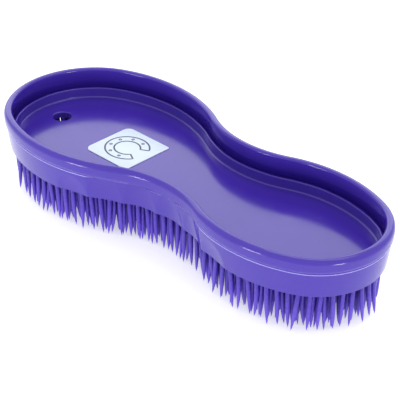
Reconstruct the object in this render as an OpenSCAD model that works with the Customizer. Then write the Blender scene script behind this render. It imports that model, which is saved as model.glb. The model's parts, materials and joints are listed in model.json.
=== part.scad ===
// Curry comb: a waisted grooming brush that is held in the palm.
// A rolled-rim shell holds a shallow tray, and soft tapered bristles grow from the tray's underside.
// X runs from the large lobe, which has the hanging hole, to the small lobe.
// +Y is the back of the brush, and the bristle tips lie on Z = 0.

/* [Outline] */
// Overall length, from end to end
length = 185; // [182:1:192]
// Greatest width of the large lobe
large_lobe_w = 76.4; // [75:0.2:78]
// Greatest width of the small lobe
small_lobe_w = 63.4; // [62.4:0.2:65]
// Width across the waist
waist_w = 46.8; // [44:0.2:49]
// Radius of the large lobe's end
large_end_r = 35.6; // [35:0.2:36.4]
// Radius of the small lobe's end
small_end_r = 29; // [28:0.2:29.6]
// Distance of the large lobe's widest place from the middle of the length
large_widest_x = 44.8; // [44:0.2:47]
// Distance of the small lobe's widest place from the middle of the length
small_widest_x = 51.4; // [49:0.2:52.4]

/* [Shell] */
// Height of the shell, from the skirt's lower edge to the top of the rim
shell_h = 16; // [15.5:0.1:18]
// Thickness of the rolled rim
rim_t = 3.4; // [3.4:0.1:4]
// Radius of the rim's outer edge
rim_out_r = 2.2; // [1.6:0.1:2.2]
// Radius of the rim's inner edge
rim_in_r = 1.1; // [0.6:0.1:1.1]
// Height of the rim band, from the top of the rim to the seam under it
rim_band_h = 6; // [5.2:0.1:6.6]
// How far the rim band turns in at the seam
seam_in = 0.95; // [0.85:0.05:1.1]
// How far the skirt's top edge stands in from the rim band
step_in = 0.6; // [0.4:0.05:0.7]
// How far the skirt's lower edge stands in from the rim band
skirt_in = 1.8; // [1.6:0.05:2.2]
// Inset of the rebate that the tray sits in
rebate_in = 3.3; // [3.2:0.05:3.35]

/* [Finger flutes] */
// Number of shallow flutes along each side of the waist
flute_count = 6; // [4:2:6]
// Width of one flute along the side
flute_pitch = 14.6; // [12:0.2:15]
// Depth of a flute in its middle, at the skirt's lower edge
flute_depth = 0.85; // [0.4:0.05:0.9]
// How far the row of flutes is shifted from the waist towards the large lobe
flute_shift = 5.8; // [0:0.2:7]

/* [Tray] */
// Depth from the top of the rim to the tray floor
recess_depth = 13.2; // [12.8:0.1:13.8]
// Depth from the top of the rim to the top of the tray's upstand
ledge_depth = 8.7; // [7.5:0.1:10.5]
// Width of the ledge that the upstand makes inside the shell
ledge_w = 1.1; // [0.8:0.1:2]
// Radius of the fillet between the upstand and the floor
fillet_r = 0.8; // [0.5:0.1:1.8]

/* [Hanging hole] */
// Diameter of the hanging hole
hole_d = 7.6; // [5:0.1:9]
// Distance from the large lobe's end to the middle of the hole
hole_from_end = 16.5; // [15:0.5:20]

/* [Bristles] */
// Length of a bristle, from root to tip
bristle_len = 17.4; // [14:0.2:20]
// Diameter of a bristle at its root
root_d = 2.3; // [2:0.1:2.4]
// Diameter of a bristle at its tip
tip_d = 0.5; // [0.4:0.1:0.8]
// Distance from one bristle to the next, and from row to row
pitch = 4; // [3.9:0.1:5]

/* [Label] */
// Side of the square label
label_w = 24.5; // [16:0.5:25]
// Radius of the label's two corners towards the large lobe's end
label_round_r = 3; // [1:0.5:5]
// Radius of its two corners towards the waist
label_sharp_r = 1; // [0.2:0.1:3]
// Thickness of the label
label_t = 0.3; // [0.2:0.1:0.5]
// Distance from the large lobe's end to the middle of the label
label_from_end = 56.3; // [45:0.1:60]
// Distance of the label's middle from the centre line, towards the back
label_off_y = 1; // [0:0.1:4]

/* [Hidden] */
$fn = 64;
SHELL_COLOUR = "#5a48bd";
TRAY_COLOUR = "#6f62c4";
BRISTLE_COLOUR = "#5a40c4";
LABEL_COLOUR = "#d2e2f2";

// Heights
root_z = bristle_len;
top_z = root_z + shell_h;
seam_z = top_z - rim_band_h;
ledge_z = top_z - ledge_depth;
floor_z = top_z - recess_depth;

// The outline is symmetric about X. Each half has five arcs, each tangent to the next: the small end,
// its flank, the hollow waist, the large lobe's flank and the large end. A flank's centre lies beyond
// the X axis by its drop.
small_end_x = length / 2 - small_end_r;
large_end_x = large_end_r - length / 2;
small_reach = small_end_x - small_widest_x;
large_reach = -large_widest_x - large_end_x;
function flank_drop(lobe_w, end_r, reach) =
    let (slack = lobe_w / 2 - end_r)
    (reach * reach - slack * slack) / (2 * slack);
small_drop = flank_drop(small_lobe_w, small_end_r, small_reach);
large_drop = flank_drop(large_lobe_w, large_end_r, large_reach);
small_flank_r = small_lobe_w / 2 + small_drop;
large_flank_r = large_lobe_w / 2 + large_drop;

// The waist arc touches both flanks. With the arc's centre at waist_x, each flank gives
// (waist_x - widest_x)^2 = base + waist_r * (lobe_w - waist_w), and the two make a quadratic in waist_x.
function waist_base(flank_r, drop) = pow(flank_r, 2) - pow(waist_w / 2 + drop, 2);
small_base = waist_base(small_flank_r, small_drop);
large_base = waist_base(large_flank_r, large_drop);
gap_ratio = (small_lobe_w - waist_w) / (large_lobe_w - waist_w);
quad_a = 1 - gap_ratio;
quad_b = -2 * (gap_ratio * large_widest_x + small_widest_x);
quad_c = pow(small_widest_x, 2) - small_base - gap_ratio * (pow(large_widest_x, 2) - large_base);
waist_x = (-quad_b - sqrt(quad_b * quad_b - 4 * quad_a * quad_c)) / (2 * quad_a);
waist_r = (pow(waist_x + large_widest_x, 2) - large_base) / (large_lobe_w - waist_w);
waist_y = waist_w / 2 + waist_r;

// Directions of the normals where the arcs meet
small_end_a = atan2(small_drop, small_reach);
small_waist_a = atan2(waist_y + small_drop, waist_x - small_widest_x);
large_waist_a = atan2(waist_y + large_drop, waist_x + large_widest_x);
large_end_a = atan2(large_drop, -large_reach);

// Each arc of the back half: centre, radius, first direction, last direction, and 1 where it bulges
// or -1 where it is hollow
HALF = [
    [[small_end_x, 0], small_end_r, 0, small_end_a, 1],
    [[small_widest_x, -small_drop], small_flank_r, small_end_a, small_waist_a, 1],
    [[waist_x, waist_y], waist_r, small_waist_a - 180, large_waist_a - 180, -1],
    [[-large_widest_x, -large_drop], large_flank_r, large_waist_a, large_end_a, 1],
    [[large_end_x, 0], large_end_r, large_end_a, 180, 1],
];
ZONES = ["small_end", "small_flank", "waist", "large_flank", "large_end"];
WAIST = 2;

function arc_point(arc, angle, inset) = arc[0] + (arc[1] - arc[4] * inset) * [cos(angle), sin(angle)];
function arc_length(arc, inset) = (arc[1] - arc[4] * inset) * abs(arc[3] - arc[2]) * PI / 180;
function arc_angle(arc, share) = arc[2] + share * (arc[3] - arc[2]);

// The point of the back half that lies a distance along the rim from the small end, moved in by inset
function half_point(along, inset, i = 0) =
    let (arc_len = arc_length(HALF[i], 0))
    along <= arc_len || i == len(HALF) - 1
        ? arc_point(HALF[i], arc_angle(HALF[i], along / arc_len), inset)
        : half_point(along - arc_len, inset, i + 1);

// Distance along the rim over arcs first to last
function rim_length(first, last) =
    first > last ? 0 : arc_length(HALF[first], 0) + rim_length(first + 1, last);
half_len = rim_length(0, len(HALF) - 1);
waist_share = (small_waist_a - 90) / (small_waist_a - large_waist_a);
waist_along = rim_length(0, WAIST - 1) + waist_share * arc_length(HALF[WAIST], 0);

// Stations where the swept sections stand: evenly spaced over each end, and a fixed number to each flute
STATION_STEP = 4;
STATIONS_PER_FLUTE = 4;
flutes_mid = waist_along + flute_shift;
flutes_half = flute_count * flute_pitch / 2;
function evenly(first, last, n) = [for (k = [0:n - 1]) first + (last - first) * k / n];
STATIONS = concat(
    evenly(0, flutes_mid - flutes_half, ceil((flutes_mid - flutes_half) / STATION_STEP)),
    evenly(flutes_mid - flutes_half, flutes_mid + flutes_half, flute_count * STATIONS_PER_FLUTE),
    evenly(flutes_mid + flutes_half, half_len, ceil((half_len - flutes_mid - flutes_half) / STATION_STEP)),
    [half_len]
);
// The whole loop: the back half, then the front half on the way back. 1 is the back and -1 the front.
LOOP = concat(
    [for (along = STATIONS) [along, 1]],
    [for (i = [len(STATIONS) - 2:-1:1]) [STATIONS[i], -1]]
);
function loop_point(stop, inset) =
    let (p = half_point(stop[0], inset))
    [p.x, stop[1] * p.y];

// Sweeps a closed section around the outline. section(along) gives its corners as [inset, height].
module swept(section) {
    sections = [for (stop = LOOP) [for (c = section(stop[0])) concat(loop_point(stop, c[0]), c[1])]];
    count = len(sections[0]);
    corners = [for (s = sections) for (p = s) p];
    faces = [
        for (i = [0:len(LOOP) - 1]) for (j = [0:count - 1])
            let (next_i = (i + 1) % len(LOOP), next_j = (j + 1) % count)
            [i * count + j, next_i * count + j, next_i * count + next_j, i * count + next_j]
    ];
    polyhedron(corners, faces, convexity = 4);
}

// A flat plate that fills the outline, moved in by inset
module plate(inset, from_z, to_z) {
    translate([0, 0, from_z])
        linear_extrude(to_z - from_z)
            polygon([for (stop = LOOP) loop_point(stop, inset)]);
}

// Corners of a round edge or fillet in a section
function round_corners(centre, r, first_a, last_a, steps) = [
    for (k = [0:steps])
        let (a = first_a + (last_a - first_a) * k / steps)
        centre + r * [cos(a), sin(a)]
];

// ---- Shell ----
skirt_h = seam_z - root_z;
TURN_H = 1.5;
RIM_OUT_STEPS = 4;
RIM_IN_STEPS = 2;
TURN_STEPS = 3;
SKIRT_STEPS = 5;
// The skirt draws in faster towards its lower edge, by this share of its slope
SKIRT_BOW = 0.35;
// A flute is a shallow dish with its middle on the skirt's lower edge. It rises by this share of the skirt's
// height: the two end flutes stop short of the seam, and the others run past it.
END_FLUTE_RISE = 0.85;
FLUTE_RISE = 1.25;
// Along the flutes that run past the seam, the skirt's top edge is let in until it barely stands proud
EDGE_LEFT = 0.05;
GRIP_RAMP = 0.25;

function flute_at(place, down) =
    let (
        rise = place < 1 || place > flute_count - 1 ? END_FLUTE_RISE : FLUTE_RISE,
        across = 2 * (place - floor(place)) - 1,
        up = (1 - down) / rise
    )
    place < 0 || place > flute_count ? 0 : flute_depth * max(0, 1 - across * across - up * up);
function grip_at(place, down) =
    let (ramp = min(place - 1, flute_count - 1 - place) / GRIP_RAMP)
    (seam_in - step_in - EDGE_LEFT) * (1 - down) * max(0, min(1, ramp));
// place counts flutes along the rim, and down runs from 0 at the seam to 1 at the lower edge
function skirt_inset(along, down) =
    let (
        place = (along - flutes_mid + flutes_half) / flute_pitch,
        draft = (skirt_in - step_in) * down * (1 - SKIRT_BOW * (1 - down))
    )
    step_in + draft + grip_at(place, down) + flute_at(place, down);
shell_section = function (along) concat(
    round_corners([rim_t - rim_in_r, top_z - rim_in_r], rim_in_r, 0, 90, RIM_IN_STEPS),
    round_corners([rim_out_r, top_z - rim_out_r], rim_out_r, 90, 180, RIM_OUT_STEPS),
    [
        for (k = [0:TURN_STEPS])
            let (a = 90 * k / TURN_STEPS)
            [seam_in * (1 - cos(a)), seam_z + TURN_H * (1 - sin(a))]
    ],
    [
        for (k = [0:SKIRT_STEPS])
            let (down = k / SKIRT_STEPS)
            [skirt_inset(along, down), seam_z - skirt_h * down]
    ],
    [[rebate_in, root_z], [rebate_in, ledge_z], [rim_t, ledge_z]]
);

// The ring that the hand closes round: rolled rim, seam, drafted skirt with finger flutes, and rebate
module shell() {
    color(SHELL_COLOUR)
        swept(shell_section);
}

// ---- Bristle tray ----
LEDGE_EDGE_R = 0.5;
FILLET_STEPS = 3;
FLOOR_MARGIN = 1;
OVERLAP = 0.5;
ledge_in = rim_t + ledge_w;
fillet_in = ledge_in + fillet_r;
hole_x = hole_from_end - length / 2;
tray_section = function (along) concat(
    [[rebate_in, root_z], [fillet_in + FLOOR_MARGIN, root_z], [fillet_in + FLOOR_MARGIN, floor_z]],
    round_corners([fillet_in, floor_z + fillet_r], fillet_r, 270, 180, FILLET_STEPS),
    round_corners([ledge_in - LEDGE_EDGE_R, ledge_z - LEDGE_EDGE_R], LEDGE_EDGE_R, 0, 90, 2),
    [[rebate_in, ledge_z]]
);

// The tray: a thin floor with an upstand all round that fills the shell's rebate and shows as a ledge
module bristle_tray() {
    color(TRAY_COLOUR)
        difference() {
            union() {
                swept(tray_section);
                plate(fillet_in + FLOOR_MARGIN - OVERLAP, root_z, floor_z);
            }
            translate([hole_x, 0, root_z - 1])
                cylinder(h = floor_z - root_z + 2, d = hole_d);
        }
}

// ---- Label ----
CORNER_STEPS = 6;
// The label's corners: which way each lies from the middle, and its radius
LABEL_CORNERS = [
    [1, 1, label_sharp_r],
    [-1, 1, label_round_r],
    [-1, -1, label_round_r],
    [1, -1, label_sharp_r],
];

// The plain square label on the tray floor
module label() {
    color(LABEL_COLOUR)
        translate([label_from_end - length / 2, label_off_y, floor_z])
            linear_extrude(label_t)
                polygon([
                    for (k = [0:3])
                        let (
                            r = LABEL_CORNERS[k].z,
                            middle = [LABEL_CORNERS[k].x, LABEL_CORNERS[k].y] * (label_w / 2 - r)
                        )
                        each round_corners(middle, r, 90 * k, 90 * (k + 1), CORNER_STEPS)
                ]);
}

// ---- Bristles ----
// Two lines of bristles follow the tray's edge, and straight rows fill the space inside them.
ROOT_CLEARANCE = 0.05;
edge_in = rebate_in + root_d / 2 + ROOT_CLEARANCE;
second_in = edge_in + pitch * sin(60);
rows_in = second_in + pitch * sin(60) - root_d / 4;
row_count = floor((length - 2 * rows_in) / pitch) + 1;
hole_clear_r = hole_d / 2 + root_d / 2 + 0.6;

module bristle(at) {
    if (norm(at - [hole_x, 0]) > hole_clear_r)
        translate(at)
            cylinder(h = bristle_len, d1 = tip_d, d2 = root_d);
}

// Bristles evenly spaced along one arc of the outline. side is 1 for the back half and -1 for the front.
// first is where the first one stands, in spaces. A bristle on the X axis belongs to the back half only.
module arc_bristles(arc, inset, first, side) {
    n = round(arc_length(arc, inset) / pitch);
    for (k = [0:n - 1]) {
        p = arc_point(arc, arc_angle(arc, (k + first) / n), inset);
        if (side > 0 || p.y > root_d / 2)
            bristle([p.x, side * p.y]);
    }
}

// The second line stands half a space on from the first, and closes on the X axis at the large end
module edge_bristles(zone, sides) {
    color(BRISTLE_COLOUR) {
        for (side = sides) {
            arc_bristles(HALF[zone], edge_in, 0.5, side);
            arc_bristles(HALF[zone], second_in, 0, side);
        }
        if (zone == len(HALF) - 1)
            bristle([second_in - length / 2, 0]);
    }
}

// Half the width of the brush at x, moved in by inset: from the arc of the back half that passes over x
function half_width(x, inset, i = 0) =
    let (
        arc = HALF[i],
        r = arc[1] - arc[4] * inset,
        last_x = arc_point(arc, arc[3], inset).x
    )
    x >= last_x || i == len(HALF) - 1
        ? arc[0].y + arc[4] * sqrt(max(0, r * r - pow(x - arc[0].x, 2)))
        : half_width(x, inset, i + 1);

// One straight row across the brush. Every second row is shifted by half a pitch.
module bristle_row(row) {
    x = (row - 1 - (row_count - 1) / 2) * pitch;
    shift = row % 2 == 0 ? pitch / 2 : 0;
    reach = half_width(x, rows_in);
    last = floor((reach - shift) / pitch);
    color(BRISTLE_COLOUR)
        for (side = [-1, 1], k = [0:last])
            if (side > 0 || shift > 0 || k > 0)
                bristle([x, side * (shift + k * pitch)]);
}

// ---- Nodes ----
SIDES = [["back", [1]], ["front", [-1]]];
END_ZONES = [0, len(HALF) - 1];
SIDE_ZONES = [1, 2, 3];
function end_name(zone) = str("edge_bristles_", ZONES[zone]);
function side_name(zone, side) = str("edge_bristles_", side[0], "_", ZONES[zone]);
function row_name(row) = str("bristle_row_", row < 10 ? "0" : "", row);

shell();
bristle_tray();
label();
for (zone = END_ZONES)
    edge_bristles(zone, [-1, 1]);
for (side = SIDES, zone = SIDE_ZONES)
    edge_bristles(zone, side[1]);
for (row = [1:row_count])
    bristle_row(row);
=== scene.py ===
"""The looks of the curry comb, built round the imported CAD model.

Lengths are in metres and places are in the CAD model's frame.
"""

import json
import math
import random

import bmesh
import bpy
import numpy as np
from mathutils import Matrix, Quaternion, Vector


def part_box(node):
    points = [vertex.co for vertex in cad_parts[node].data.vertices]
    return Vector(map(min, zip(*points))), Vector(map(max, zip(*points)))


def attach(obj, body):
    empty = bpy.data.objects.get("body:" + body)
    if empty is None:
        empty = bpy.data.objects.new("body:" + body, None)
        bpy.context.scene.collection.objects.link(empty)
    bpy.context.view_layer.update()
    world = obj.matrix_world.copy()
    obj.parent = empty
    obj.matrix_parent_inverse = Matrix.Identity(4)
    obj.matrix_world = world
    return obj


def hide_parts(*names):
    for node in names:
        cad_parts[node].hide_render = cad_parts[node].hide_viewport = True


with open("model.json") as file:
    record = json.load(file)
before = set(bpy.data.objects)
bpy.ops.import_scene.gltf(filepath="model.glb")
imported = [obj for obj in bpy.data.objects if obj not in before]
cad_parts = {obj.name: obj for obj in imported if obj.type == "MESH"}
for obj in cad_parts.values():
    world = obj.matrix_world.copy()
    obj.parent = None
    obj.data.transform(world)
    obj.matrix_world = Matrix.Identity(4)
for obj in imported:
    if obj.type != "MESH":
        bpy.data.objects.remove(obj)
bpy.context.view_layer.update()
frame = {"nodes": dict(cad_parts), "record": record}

MM = 0.001
SEED = 12

# ---- Sizes from the frame ----
shell_low, shell_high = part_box("shell")
_, tray_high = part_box("bristle_tray")
label_low, label_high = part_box("label")
LENGTH = shell_high.x - shell_low.x
LARGE_LOBE_W = shell_high.y - shell_low.y
TOP_Z = shell_high.z
ROOT_Z = shell_low.z
LEDGE_Z = tray_high.z
FLOOR_Z = label_low.z
REBATE_IN = shell_high.x - tray_high.x
hanging_hole = next(m for m in frame["record"]["mounts"] if m["name"] == "hanging_hole")
HOLE_X, HOLE_Y, _ = hanging_hole["pos_m"]
HOLE_R = hanging_hole["dims"]["r_mm"] * MM

# ---- Sizes that the frame's boxes don't give, as in the CAD model ----
SMALL_LOBE_W = 63.4 * MM
WAIST_W = 46.8 * MM
LARGE_END_R = 35.6 * MM
SMALL_END_R = 29 * MM
LARGE_WIDEST_X = -44.8 * MM
SMALL_WIDEST_X = 51.4 * MM

RIM_T = 3.4 * MM
RIM_OUT_R = 2.2 * MM
RIM_IN_R = 1.1 * MM
SEAM_Z = TOP_Z - 6 * MM
SEAM_IN = 0.95 * MM
STEP_IN = 0.6 * MM
SKIRT_IN = 1.8 * MM
SKIRT_BOW = 0.35

FLUTE_COUNT = 6
FLUTE_PITCH = 14.6 * MM
FLUTE_DEPTH = 0.85 * MM
FLUTE_SHIFT = 5.8 * MM
# A flute rises this many heights of the skirt from its lower edge, the first and the last one less
FLUTE_RISE = 1.25
END_FLUTE_RISE = 0.85
# Along the other flutes only this much of the skirt's top edge stands proud, past a ramp counted in flutes
EDGE_LEFT = 0.05 * MM
GRIP_RAMP = 0.12

LEDGE_W = 1.1 * MM
FILLET_R = 0.8 * MM
FLOOR_MARGIN = 1 * MM

# ---- Steps of the meshes ----
HALF_STEPS = 400
SKIRT_STEPS = 18
ROUND_STEPS = 7
HOLE_STEPS = 56


# ---- The outline: five tangent arcs to each half ----
def flank(lobe_w, end_r, reach):
    """How far a flank's centre lies beyond the X axis, and its radius."""
    slack = lobe_w / 2 - end_r
    drop = (reach**2 - slack**2) / (2 * slack)
    return drop, lobe_w / 2 + drop


def direction(from_point, to_point):
    """The angle of the line from one point to another."""
    return math.atan2(to_point[1] - from_point[1], to_point[0] - from_point[0])


def back_half_arcs():
    """The arcs from the small end to the large end.

    Each has its centre, radius, first and last direction of the radius, and 1 where the rim bulges or -1
    where it is hollow.
    """
    small_end = (LENGTH / 2 - SMALL_END_R, 0)
    large_end = (LARGE_END_R - LENGTH / 2, 0)
    small_drop, small_r = flank(SMALL_LOBE_W, SMALL_END_R, small_end[0] - SMALL_WIDEST_X)
    large_drop, large_r = flank(LARGE_LOBE_W, LARGE_END_R, LARGE_WIDEST_X - large_end[0])
    small_flank = (SMALL_WIDEST_X, -small_drop)
    large_flank = (LARGE_WIDEST_X, -large_drop)

    # Each flank touches the waist arc, which gives a quadratic in the place of the waist's centre
    small_base = small_r**2 - (WAIST_W / 2 + small_drop) ** 2
    large_base = large_r**2 - (WAIST_W / 2 + large_drop) ** 2
    gap_ratio = (SMALL_LOBE_W - WAIST_W) / (LARGE_LOBE_W - WAIST_W)
    a = 1 - gap_ratio
    b = -2 * (SMALL_WIDEST_X - gap_ratio * LARGE_WIDEST_X)
    c = SMALL_WIDEST_X**2 - small_base - gap_ratio * (LARGE_WIDEST_X**2 - large_base)
    waist_x = (-b - math.sqrt(b * b - 4 * a * c)) / (2 * a)
    waist_r = ((waist_x - LARGE_WIDEST_X) ** 2 - large_base) / (LARGE_LOBE_W - WAIST_W)
    waist = (waist_x, WAIST_W / 2 + waist_r)

    small_end_a = direction(small_flank, small_end)
    small_waist_a = direction(small_flank, waist)
    large_waist_a = direction(large_flank, waist)
    large_end_a = direction(large_flank, large_end)
    return [
        (small_end, SMALL_END_R, 0, small_end_a, 1),
        (small_flank, small_r, small_end_a, small_waist_a, 1),
        (waist, waist_r, small_waist_a - math.pi, large_waist_a - math.pi, -1),
        (large_flank, large_r, large_waist_a, large_end_a, 1),
        (large_end, LARGE_END_R, large_end_a, math.pi, 1),
    ]


WAIST_ARC = 2


def rim_stations():
    """Places all round the rim, evenly spaced.

    Gives their positions, outward directions and distances from the small end, and the distance from the
    small end to the narrowest place.
    """
    arcs = back_half_arcs()
    lengths = [radius * abs(last - first) for _, radius, first, last, _ in arcs]
    starts = np.concatenate([[0], np.cumsum(lengths)])
    along = np.linspace(0, starts[-1], HALF_STEPS + 1)
    at, out = [], []
    for distance in along:
        k = min(int(np.searchsorted(starts, distance, side="right")) - 1, len(arcs) - 1)
        centre, radius, first, last, bulge = arcs[k]
        angle = first + (last - first) * (distance - starts[k]) / lengths[k]
        ray = np.array([math.cos(angle), math.sin(angle)])
        at.append(np.array(centre) + radius * ray)
        out.append(bulge * ray)
    waist_first, waist_last = arcs[WAIST_ARC][2:4]
    waist_share = (-math.pi / 2 - waist_first) / (waist_last - waist_first)
    narrowest = starts[WAIST_ARC] + lengths[WAIST_ARC] * waist_share
    at, out = np.array(at), np.array(out)
    mirror = np.array([1, -1])
    return (
        np.concatenate([at, (at * mirror)[-2:0:-1]]),
        np.concatenate([out, (out * mirror)[-2:0:-1]]),
        np.concatenate([along, along[-2:0:-1]]),
        narrowest,
    )


RIM_AT, RIM_OUT, RIM_ALONG, NARROWEST = rim_stations()
STATIONS = len(RIM_AT)


# ---- Sections and meshes ----
TINY = 1e-9


def rounded(corners, radii, closed):
    """Rounds the corners of sections. corners is stations x corners x (inset, height).

    A section that isn't closed keeps its first and last corners sharp.
    """
    count = corners.shape[1]
    to_last = np.roll(corners, 1, axis=1) - corners
    to_next = np.roll(corners, -1, axis=1) - corners
    last_length = np.linalg.norm(to_last, axis=2, keepdims=True)
    next_length = np.linalg.norm(to_next, axis=2, keepdims=True)
    to_last, to_next = to_last / last_length, to_next / next_length
    cos_turn = np.clip(-(to_last * to_next).sum(axis=2, keepdims=True), -1, 1)
    turn = np.arccos(cos_turn)

    # Two rounds that meet on a short side share its length
    radii = np.array(radii if closed else [0, *radii[1:-1], 0])
    wanted = radii[None, :, None] * np.tan(turn / 2)
    last_share = last_length / np.maximum(wanted + np.roll(wanted, 1, axis=1), TINY)
    next_share = next_length / np.maximum(wanted + np.roll(wanted, -1, axis=1), TINY)
    reach = wanted * np.minimum(1, np.minimum(last_share, next_share))

    columns = []
    for k in range(count):
        here = corners[:, k]
        if radii[k] == 0:
            columns.append(here)
            continue
        bend = turn[:, k]
        middle = to_last[:, k] + to_next[:, k]
        middle /= np.linalg.norm(middle, axis=1, keepdims=True)
        centre = here + middle * reach[:, k] / np.sin(bend / 2)
        start = here + to_last[:, k] * reach[:, k] - centre
        end = here + to_next[:, k] * reach[:, k] - centre
        for t in np.linspace(0, 1, ROUND_STEPS + 1):
            blend = start * np.sin((1 - t) * bend) + end * np.sin(t * bend)
            columns.append(centre + blend / np.sin(bend))
    return np.stack(columns, axis=1)


def column(inset, height):
    """One corner of the section at every station. inset may be one value or one for each station."""
    return np.stack([np.broadcast_to(inset, STATIONS), np.full(STATIONS, height)], axis=1)


def rounded_section(corners, closed):
    """The section with its corners rounded, from a list of columns with their radii."""
    columns, radii = zip(*corners)
    return rounded(np.stack(columns, axis=1), list(radii), closed)


def swept_points(section):
    """The points of a section carried round the rim, stations x corners x 3."""
    place = RIM_AT[:, None, :] - section[:, :, :1] * RIM_OUT[:, None, :]
    return np.concatenate([place, section[:, :, 1:]], axis=2)


def add_grid(mesh, points, close_section):
    """Adds a grid of quads that closes on itself from the last row to the first. Returns its vertices."""
    rows, columns = points.shape[:2]
    verts = [[mesh.verts.new(p) for p in row] for row in points]
    last = columns if close_section else columns - 1
    for i in range(rows):
        for j in range(last):
            next_i, next_j = (i + 1) % rows, (j + 1) % columns
            mesh.faces.new((verts[i][j], verts[next_i][j], verts[next_i][next_j], verts[i][next_j]))
    return verts


def add_cap(mesh, *rings):
    """Fills the flat space between closed rings of vertices."""
    edges = []
    for ring in rings:
        for k, vert in enumerate(ring):
            edges.append(mesh.edges.get((vert, ring[k - 1])))
    bmesh.ops.triangle_fill(mesh, edges=edges, use_beauty=True)


def circle(x, y, radius, steps):
    """Evenly spaced points (x, y) round a circle."""
    turns = [2 * math.pi * k / steps for k in range(steps)]
    return [(x + radius * math.cos(a), y + radius * math.sin(a)) for a in turns]


def linked(name, data):
    """A new object of the scene with this data."""
    thing = bpy.data.objects.new(name, data)
    bpy.context.scene.collection.objects.link(thing)
    return thing


def finished_object(name, mesh, material):
    """Makes a smooth-shaded object of a bmesh, with its normals outwards, riding on the brush."""
    bmesh.ops.recalc_face_normals(mesh, faces=mesh.faces)
    data = bpy.data.meshes.new(name)
    mesh.to_mesh(data)
    mesh.free()
    data.polygons.foreach_set("use_smooth", [True] * len(data.polygons))
    data.materials.append(material)
    piece = linked(name, data)
    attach(piece, "root")
    return piece


# ---- Materials ----
# Nearly all of a noise texture's values lie between these
NOISE_LOW = 0.3
NOISE_HIGH = 0.7

PLASTIC_IOR = 1.5
FLOW_SCALE = 45
RIPPLE_SCALE = 55
GRAIN_SCALE = 1400
GRAIN = 0.0003 * MM


def new_material(name):
    """A material with nodes, and short ways to add a node and to join two sockets."""
    material = bpy.data.materials.new(name)
    material.use_nodes = True
    tree = material.node_tree

    def add(kind, **inputs):
        node = tree.nodes.new(kind)
        for socket, value in inputs.items():
            node.inputs[socket.replace("_", " ")].default_value = value
        return node

    return material, tree.nodes["Principled BSDF"], add, tree.links.new


def noise_of(add, join, scale, detail, roughness=0.5):
    """Noise in the object's own space, with scale in features to the metre."""
    place = add("ShaderNodeTexCoord")
    noise = add("ShaderNodeTexNoise", Scale=scale, Detail=detail, Roughness=roughness)
    join(place.outputs["Object"], noise.inputs["Vector"])
    return noise


def range_of(add, join, value, low, high, to_low, to_high):
    """Carries a value from one range to another."""
    change = add("ShaderNodeMapRange", From_Min=low, From_Max=high, To_Min=to_low, To_Max=to_high)
    join(value, change.inputs["Value"])
    return change.outputs["Result"]


def uneven(add, join, scale, detail, low, high, roughness=0.5):
    """A value that varies between low and high over the surface."""
    noise = noise_of(add, join, scale, detail, roughness)
    return range_of(add, join, noise.outputs["Fac"], NOISE_LOW, NOISE_HIGH, low, high)


def blend_colours(add, join, factor, first, second):
    """A colour from the first, where the factor is 0, to the second, where it is 1."""
    mix = add("ShaderNodeMix")
    mix.data_type = "RGBA"
    colours_in = [socket for socket in mix.inputs if socket.type == "RGBA"]
    for socket, colour in zip(colours_in, (first, second)):
        socket.default_value = (*colour, 1)
    join(factor, mix.inputs["Factor"])
    return next(socket for socket in mix.outputs if socket.type == "RGBA")


def plastic(name, dark, light, roughness, spread, ripple):
    """Moulded plastic: flow marks in the colour, an uneven gloss, a slow ripple and a fine grain."""
    material, shader, add, join = new_material(name)
    flow = noise_of(add, join, FLOW_SCALE, detail=3).outputs["Fac"]
    join(blend_colours(add, join, flow, dark, light), shader.inputs["Base Color"])
    low, high = roughness - spread, roughness + spread
    haze = uneven(add, join, scale=120, detail=4, low=low, high=high, roughness=0.6)
    join(haze, shader.inputs["Roughness"])
    shader.inputs["IOR"].default_value = PLASTIC_IOR
    slow = add("ShaderNodeBump", Strength=1.0, Distance=ripple)
    join(noise_of(add, join, RIPPLE_SCALE, detail=1).outputs["Fac"], slow.inputs["Height"])
    fine = add("ShaderNodeBump", Strength=1.0, Distance=GRAIN)
    join(noise_of(add, join, GRAIN_SCALE, detail=2).outputs["Fac"], fine.inputs["Height"])
    join(slow.outputs["Normal"], fine.inputs["Normal"])
    join(fine.outputs["Normal"], shader.inputs["Normal"])
    return material


VIOLET_DARK = (0.044, 0.019, 0.31)
VIOLET_LIGHT = (0.054, 0.025, 0.37)
# Painted highlight: pale colours for the upward-facing faces along the skirt's top edge, as if that edge
# caught the light
SEAM_HIGHLIGHT_DARK = (0.4, 0.35, 0.85)
SEAM_HIGHLIGHT_LIGHT = (0.6, 0.55, 0.95)
# Painted shade and light on the bristles: dark at the roots, where they stand dense, and pale at the thin
# tips
BRISTLE_ROOT_SHADED = (0.032, 0.012, 0.3)
BRISTLE_TIP_LIT = (0.14, 0.075, 0.64)
FILM_DARK = (0.60, 0.70, 0.82)
FILM_LIGHT = (0.68, 0.77, 0.87)
INK_DARK = (0.03, 0.04, 0.10)
INK_LIGHT = (0.05, 0.07, 0.15)

shell_plastic = plastic(
    "shell_plastic", VIOLET_DARK, VIOLET_LIGHT, roughness=0.13, spread=0.02, ripple=0.03 * MM
)
tray_plastic = plastic(
    "tray_plastic", VIOLET_DARK, VIOLET_LIGHT, roughness=0.15, spread=0.03, ripple=0.02 * MM
)
# Painted highlight for the skirt's top edge
seam_highlight_paint = plastic(
    "seam_highlight_paint", SEAM_HIGHLIGHT_DARK, SEAM_HIGHLIGHT_LIGHT, roughness=0.2, spread=0.03, ripple=0.02 * MM
)


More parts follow.
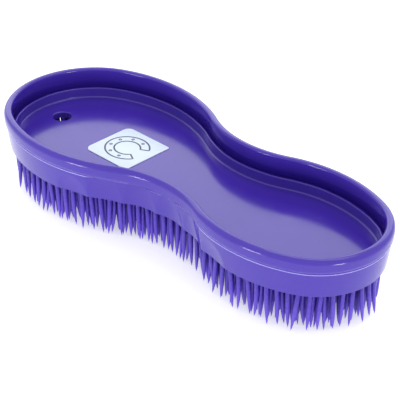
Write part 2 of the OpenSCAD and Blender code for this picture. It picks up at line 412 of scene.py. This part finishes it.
def bristle_rubber():
    """Soft violet rubber, darkened towards the roots by painted shade and paled towards the thin tips by
    painted light, and a little uneven.
    """
    material, shader, add, join = new_material("bristle_rubber")
    place = add("ShaderNodeTexCoord")
    split = add("ShaderNodeSeparateXYZ")
    join(place.outputs["Object"], split.inputs["Vector"])
    stir = uneven(add, join, scale=900, detail=2, low=-0.15, high=0.15)
    # Painted light and shade: paler towards the tips on the ground, darker towards the roots, with a little
    # random stir
    depth = range_of(add, join, split.outputs["Z"], 0, ROOT_Z, 1, 0)
    tip_light_and_stir = add("ShaderNodeMath")
    join(depth, tip_light_and_stir.inputs[0])
    join(stir, tip_light_and_stir.inputs[1])
    colour = blend_colours(add, join, tip_light_and_stir.outputs["Value"], BRISTLE_ROOT_SHADED, BRISTLE_TIP_LIT)
    join(colour, shader.inputs["Base Color"])
    haze = uneven(add, join, scale=500, detail=2, low=0.3, high=0.4)
    join(haze, shader.inputs["Roughness"])
    return material


def label_film():
    """Pale blue printed film with a faint mottle."""
    material, shader, add, join = new_material("label_film")
    mottle = noise_of(add, join, scale=700, detail=3).outputs["Fac"]
    join(blend_colours(add, join, mottle, FILM_DARK, FILM_LIGHT), shader.inputs["Base Color"])
    haze = uneven(add, join, scale=300, detail=2, low=0.38, high=0.5)
    join(haze, shader.inputs["Roughness"])
    return material


def label_ink():
    """Slate blue ink, a little uneven."""
    material, shader, add, join = new_material("label_ink")
    cover = noise_of(add, join, scale=1500, detail=2).outputs["Fac"]
    join(blend_colours(add, join, cover, INK_DARK, INK_LIGHT), shader.inputs["Base Color"])
    shader.inputs["Roughness"].default_value = 0.5
    return material


# ---- Shell ----
TURN_R = 1.2 * MM
TURN_H = 1.5 * MM
SEAM_CORNER_R = 0.1 * MM
SEAM_EDGE_R = 0.3 * MM
SKIRT_FOOT_R = 0.3 * MM
# Faces just below the seam that face up more than this get the painted highlight
FACING_UP = 0.1
SEAM_MARGIN = 0.01 * MM


def flute_places():
    """Each station's place along the row of flutes, counted in flutes."""
    first = NARROWEST + FLUTE_SHIFT - FLUTE_COUNT * FLUTE_PITCH / 2
    return (RIM_ALONG - first) / FLUTE_PITCH


def skirt_insets(down):
    """The skirt's inset at every station. down runs from 0 at the seam to 1 at the lower edge."""
    place = flute_places()
    rise = np.where((place < 1) | (place > FLUTE_COUNT - 1), END_FLUTE_RISE, FLUTE_RISE)
    across = 2 * (place - np.floor(place)) - 1
    dish = FLUTE_DEPTH * np.clip(1 - across**2 - ((1 - down) / rise) ** 2, 0, None)
    dish = np.where((place < 0) | (place > FLUTE_COUNT), 0, dish)
    ramp = np.clip(np.minimum(place - 1, FLUTE_COUNT - 1 - place) / GRIP_RAMP, 0, 1)
    grip = (SEAM_IN - STEP_IN - EDGE_LEFT) * (1 - down) * ramp
    draft = (SKIRT_IN - STEP_IN) * down * (1 - SKIRT_BOW * (1 - down))
    return STEP_IN + draft + grip + dish


def make_shell():
    """The rim, the skirt and the rebate that holds the tray, with a painted highlight along the skirt's top
    edge.
    """
    corners = [
        (column(RIM_T, TOP_Z), RIM_IN_R),
        (column(0, TOP_Z), RIM_OUT_R),
        (column(0, SEAM_Z + TURN_H), TURN_R),
        (column(SEAM_IN, SEAM_Z), SEAM_CORNER_R),
        (column(skirt_insets(0), SEAM_Z), SEAM_EDGE_R),
    ]
    for k in range(1, SKIRT_STEPS):
        down = k / SKIRT_STEPS
        corners.append((column(skirt_insets(down), SEAM_Z - down * (SEAM_Z - ROOT_Z)), 0))
    corners += [
        (column(skirt_insets(1), ROOT_Z), SKIRT_FOOT_R),
        (column(REBATE_IN, ROOT_Z), 0),
        (column(REBATE_IN, LEDGE_Z), 0),
        (column(RIM_T, LEDGE_Z), 0),
    ]
    mesh = bmesh.new()
    add_grid(mesh, swept_points(rounded_section(corners, True)), True)
    bmesh.ops.recalc_face_normals(mesh, faces=mesh.faces)
    # Painted highlight: the upward-facing faces just below the seam take the pale seam colour
    for face in mesh.faces:
        below_seam = SEAM_Z - face.calc_center_median().z
        if face.normal.z > FACING_UP and -SEAM_MARGIN < below_seam < SEAM_EDGE_R:
            face.material_index = 1
    piece = finished_object("shell_moulding", mesh, shell_plastic)
    piece.data.materials.append(seam_highlight_paint)
    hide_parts("shell")


make_shell()

# ---- Tray ----
LEDGE_R = 0.55 * MM
LEDGE_WAVE = 0.12 * MM
LEDGE_WAVE_LENGTHS = [7 * MM, 13 * MM, 31 * MM]
HOLE_LIP = 1 * MM
HOLE_TOP_R = 0.5 * MM
HOLE_FOOT_R = 0.3 * MM


def waves(size, lengths, rng):
    """A slow waver all round the rim, which joins up with its own start."""
    distance = np.arange(STATIONS) / STATIONS
    loop = 2 * RIM_ALONG.max()
    total = np.zeros(STATIONS)
    for length in lengths:
        total += np.sin(2 * math.pi * (round(loop / length) * distance + rng.random()))
    return size * total / len(lengths)


def make_tray():
    """The floor of the recess with its upstand, whose top is the ledge, and with the hanging hole."""
    rng = random.Random(SEED)
    ledge_in = RIM_T + LEDGE_W
    floor_in = ledge_in + FILLET_R + FLOOR_MARGIN
    wander = ledge_in + waves(LEDGE_WAVE, LEDGE_WAVE_LENGTHS, rng)
    corners = [
        (column(floor_in, ROOT_Z), 0),
        (column(REBATE_IN, ROOT_Z), 0),
        (column(REBATE_IN, LEDGE_Z), 0),
        (column(wander, LEDGE_Z), LEDGE_R),
        (column(ledge_in, FLOOR_Z), FILLET_R),
        (column(floor_in, FLOOR_Z), 0),
    ]
    mesh = bmesh.new()
    swept = add_grid(mesh, swept_points(rounded_section(corners, False)), False)

    hole_corners = np.array([[
        (HOLE_R + HOLE_LIP, FLOOR_Z),
        (HOLE_R, FLOOR_Z),
        (HOLE_R, ROOT_Z),
        (HOLE_R + HOLE_LIP, ROOT_Z),
    ]])
    profile = rounded(hole_corners, [0, HOLE_TOP_R, HOLE_FOOT_R, 0], False)[0]
    rings = [[(x, y, z) for x, y in circle(HOLE_X, HOLE_Y, r, HOLE_STEPS)] for r, z in profile]
    hole = add_grid(mesh, np.array(rings).transpose(1, 0, 2), False)
    add_cap(mesh, [row[-1] for row in swept], [row[0] for row in hole])
    add_cap(mesh, [row[0] for row in swept], [row[-1] for row in hole])
    piece = finished_object("tray_moulding", mesh, tray_plastic)
    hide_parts("bristle_tray")


make_tray()

# ---- Bristles ----
EDGE_ROOT_R = 0.95 * MM
ROW_ROOT_R = 1.45 * MM
TIP_R = 0.13 * MM
TAPER = 3.2
BETWEEN_ALONG = 1.2 * MM
BETWEEN_IN = 1.75 * MM
SIDES = 10
RINGS = 11
LEAN = 0.75 * MM
CURL = 0.3 * MM
HIGHEST_TIP = 0.7 * MM
TIP_SLICE = 0.01 * MM
TIP_SPREAD = 1 * MM


def tips_of(node):
    """The places of a CAD node's bristles, from the groups of vertices at their tips."""
    data = frame["nodes"][node].data
    points = np.zeros(len(data.vertices) * 3)
    data.vertices.foreach_get("co", points)
    points = points.reshape(-1, 3)
    low = points[points[:, 2] < points[:, 2].min() + TIP_SLICE][:, :2]
    places = []
    while len(low):
        near = np.linalg.norm(low - low[0], axis=1) < TIP_SPREAD
        places.append((low[near].min(axis=0) + low[near].max(axis=0)) / 2)
        low = low[~near]
    return sorted(tuple(p) for p in places)


def add_bristle(mesh, x, y, root_r, rng):
    """One soft tapered spike that leans and curls a little, with its tip on the ground or just above it."""
    end_z = rng.uniform(0, HIGHEST_TIP)
    lean = Vector((rng.gauss(0, LEAN), rng.gauss(0, LEAN), 0))
    curl = Vector((rng.gauss(0, CURL), rng.gauss(0, CURL), 0))
    rings = []
    for k in range(RINGS + 1):
        t = k / (RINGS + 1)
        # The curl bends back on itself: it is nothing at the root and halfway, and whole at the tip
        centre = Vector((x, y, ROOT_Z + (end_z - ROOT_Z) * t)) + lean * t + curl * t * (2 * t - 1)
        radius = TIP_R + (root_r - TIP_R) * (1 - t**TAPER)
        ring = circle(centre.x, centre.y, radius, SIDES)
        rings.append([mesh.verts.new((ring_x, ring_y, centre.z)) for ring_x, ring_y in ring])
    tip = mesh.verts.new(Vector((x, y, end_z)) + lean + curl)
    for upper, lower in zip(rings, rings[1:]):
        for s in range(SIDES):
            mesh.faces.new((upper[s - 1], upper[s], lower[s], lower[s - 1]))
    for s in range(SIDES):
        mesh.faces.new((rings[-1][s - 1], rings[-1][s], tip))
    mesh.faces.new(rings[0])


def place_between(x, y):
    """The place of the added bristle beside an edge bristle, a little further in and further round."""
    nearest = np.argmin(np.linalg.norm(RIM_AT - (x, y), axis=1))
    out_x, out_y = RIM_OUT[nearest]
    in_x, in_y = -BETWEEN_IN * out_x, -BETWEEN_IN * out_y
    along_x, along_y = -BETWEEN_ALONG * out_y, BETWEEN_ALONG * out_x
    return x + in_x + along_x, y + in_y + along_y


def make_bristles():
    """The bristles of each CAD node.

    The brush is dense along its edge, so there a second bristle stands beside each one of the CAD model.
    """
    rng = random.Random(SEED + 1)
    material = bristle_rubber()
    for node in sorted(frame["nodes"]):
        if node.startswith(("edge_bristles", "bristle_row")):
            on_edge = node.startswith("edge_bristles")
            root_r = EDGE_ROOT_R if on_edge else ROW_ROOT_R
            mesh = bmesh.new()
            for x, y in tips_of(node):
                add_bristle(mesh, x, y, root_r, rng)
                if on_edge:
                    add_bristle(mesh, *place_between(x, y), root_r, rng)
            piece = finished_object(node + "_moulded", mesh, material)
            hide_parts(node)


make_bristles()

# ---- Label ----
LABEL_ROUND_R = 3 * MM
LABEL_SHARP_R = 1 * MM
LABEL_EDGE = 0.08 * MM
EDGE_BEND = 0.3 * LABEL_EDGE
SHARP_ANGLE = math.radians(40)
LABEL_MIDDLE = (label_low + label_high) / 2


def label_outline(inset):
    """The label's outline, moved in by inset, with the rounder corners towards the large end."""
    half = (label_high - label_low) / 2
    points = []
    for x, y, first in ((1, 1, 0), (-1, 1, 90), (-1, -1, 180), (1, -1, 270)):
        r = LABEL_ROUND_R if x < 0 else LABEL_SHARP_R
        cx = LABEL_MIDDLE.x + x * (half.x - r)
        cy = LABEL_MIDDLE.y + y * (half.y - r)
        for k in range(ROUND_STEPS + 1):
            a = math.radians(first + 90 * k / ROUND_STEPS)
            points.append((cx + (r - inset) * math.cos(a), cy + (r - inset) * math.sin(a)))
    return points


def make_label():
    """The film, with a softened upper edge."""
    low, high = label_low.z, label_high.z
    levels = [(0, low), (0, high - LABEL_EDGE), (EDGE_BEND, high - EDGE_BEND), (LABEL_EDGE, high)]
    rings = [[(x, y, z) for x, y in label_outline(inset)] for inset, z in levels]
    mesh = bmesh.new()
    verts = add_grid(mesh, np.array(rings).transpose(1, 0, 2), False)
    mesh.faces.new([row[0] for row in verts])
    mesh.faces.new([row[-1] for row in verts])
    piece = finished_object("label_film", mesh, label_film())
    piece.data.set_sharp_from_angle(angle=SHARP_ANGLE)
    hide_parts("label")


def ribbon(mesh, path, width, low, high):
    """A flat printed line of one width along a closed path of (x, y) points."""
    path = [Vector(p) for p in path]
    rows = []
    for k, here in enumerate(path):
        run = (path[(k + 1) % len(path)] - path[k - 1]).normalized()
        side = Vector((-run.y, run.x)) * width / 2
        left, right = here + side, here - side
        rows.append([(*left, low), (*left, high), (*right, high), (*right, low)])
    add_grid(mesh, np.array(rows), True)


PRINT_T = 0.02 * MM
LINE_W = 0.7 * MM
SHOE_OUT_R = 8.8 * MM
SHOE_IN_R = 5.2 * MM
# The gap between the shoe's heels, in degrees
SHOE_GAP = 62
SHOE_STRETCH = 1.08
SHOE_OUT_STEPS = 64
SHOE_IN_STEPS = 48
NAIL_R = 0.5 * MM
NAIL_LINE_W = 0.7 * LINE_W
NAIL_COUNT = 6
# The share of the shoe's length that has nails
NAIL_REACH = 0.72
NAIL_STEPS = 12


def make_print():
    """A plain outline of a horseshoe, with its toe towards the hanging hole."""
    low, high = label_high.z - PRINT_T, label_high.z + PRINT_T

    def on_shoe(r, degrees):
        a = math.radians(180 + degrees)
        return LABEL_MIDDLE.x + SHOE_STRETCH * r * math.cos(a), LABEL_MIDDLE.y + r * math.sin(a)

    sweep = 180 - SHOE_GAP / 2
    outer = [on_shoe(SHOE_OUT_R, a) for a in np.linspace(-sweep, sweep, SHOE_OUT_STEPS)]
    inner = [on_shoe(SHOE_IN_R, a) for a in np.linspace(sweep, -sweep, SHOE_IN_STEPS)]
    mesh = bmesh.new()
    ribbon(mesh, outer + inner, LINE_W, low, high)
    for a in np.linspace(-sweep * NAIL_REACH, sweep * NAIL_REACH, NAIL_COUNT):
        nail = circle(*on_shoe((SHOE_OUT_R + SHOE_IN_R) / 2, a), NAIL_R, NAIL_STEPS)
        ribbon(mesh, nail, NAIL_LINE_W, low, high)
    piece = finished_object("label_print", mesh, label_ink())
    piece.data.set_sharp_from_angle(angle=SHARP_ANGLE)


make_label()
make_print()

# ---- Stage, light and camera ----
CAMERA_AZIMUTH = math.radians(44.31)
CAMERA_ELEVATION = math.radians(32.14)
CAMERA_ROLL = math.radians(0.39)
CAMERA_DISTANCE = 0.5281
AIM = Vector((-0.00613, 0.01287, 0.0034))
LENS = 116.8
CLIP_START = 0.01
FLOOR_HALF = 3
FLOOR_CELLS = 8
FLOOR_GLOW = 0.45
PAPER_DARK = (0.88, 0.88, 0.88)
PAPER_LIGHT = (0.9, 0.9, 0.9)
WHITE = (1, 1, 1, 1)


def towards(azimuth, elevation):
    """Azimuth 0 looks from the front, -Y, and a positive one from further to the right."""
    flat = math.cos(elevation)
    return Vector((math.sin(azimuth) * flat, -math.cos(azimuth) * flat, math.sin(elevation)))


def look_at(thing, target, roll=0):
    """Turns a camera or light to face a target, and then about its own axis."""
    turn = (target - thing.location).to_track_quat("-Z", "Y") @ Quaternion((0, 0, 1), roll)
    thing.rotation_euler = turn.to_euler()


def make_camera():
    data = bpy.data.cameras.new("camera")
    data.lens = LENS
    data.clip_start = CLIP_START
    camera = linked("camera", data)
    camera.location = AIM + CAMERA_DISTANCE * towards(CAMERA_AZIMUTH, CAMERA_ELEVATION)
    look_at(camera, AIM, CAMERA_ROLL)
    bpy.context.scene.camera = camera


def softbox(name, azimuth, elevation, distance, width, height, radiance):
    """A rectangle of even light that faces the brush, unseen by the camera.

    Its angles are in degrees, the azimuth from the camera's own.
    """
    data = bpy.data.lights.new(name, "AREA")
    data.shape = "RECTANGLE"
    data.size = width
    data.size_y = height
    data.energy = radiance * math.pi * width * height
    light = linked(name, data)
    light.location = distance * towards(CAMERA_AZIMUTH + math.radians(azimuth), math.radians(elevation))
    look_at(light, Vector((0, 0, 0)))
    light.visible_camera = False


def make_floor():
    """A wide sheet of near-white paper that glows a little, like a light table."""
    material, shader, add, join = new_material("floor_paper")
    mottle = noise_of(add, join, scale=6, detail=2).outputs["Fac"]
    join(blend_colours(add, join, mottle, PAPER_DARK, PAPER_LIGHT), shader.inputs["Base Color"])
    shader.inputs["Roughness"].default_value = 0.9
    shader.inputs["Emission Color"].default_value = WHITE
    shader.inputs["Emission Strength"].default_value = FLOOR_GLOW
    mesh = bmesh.new()
    bmesh.ops.create_grid(mesh, x_segments=FLOOR_CELLS, y_segments=FLOOR_CELLS, size=FLOOR_HALF)
    data = bpy.data.meshes.new("floor")
    mesh.to_mesh(data)
    mesh.free()
    data.materials.append(material)
    floor = linked("floor", data)


def make_world():
    world = bpy.data.worlds.new("world")
    world.use_nodes = True
    background = world.node_tree.nodes["Background"]
    background.inputs["Color"].default_value = WHITE
    background.inputs["Strength"].default_value = 1
    bpy.context.scene.world = world


make_camera()
make_floor()
make_world()
softbox("far_backdrop", 180, 33, distance=1.1, width=1.8, height=0.75, radiance=1.3)
softbox("overhead", 150, 72, distance=0.9, width=0.6, height=0.3, radiance=2)
for name, azimuth in (("front_left", -56), ("front_right", 31)):
    softbox(name, azimuth, 6, distance=1, width=0.24, height=0.1, radiance=24)
bpy.context.scene.view_settings.view_transform = "Standard"
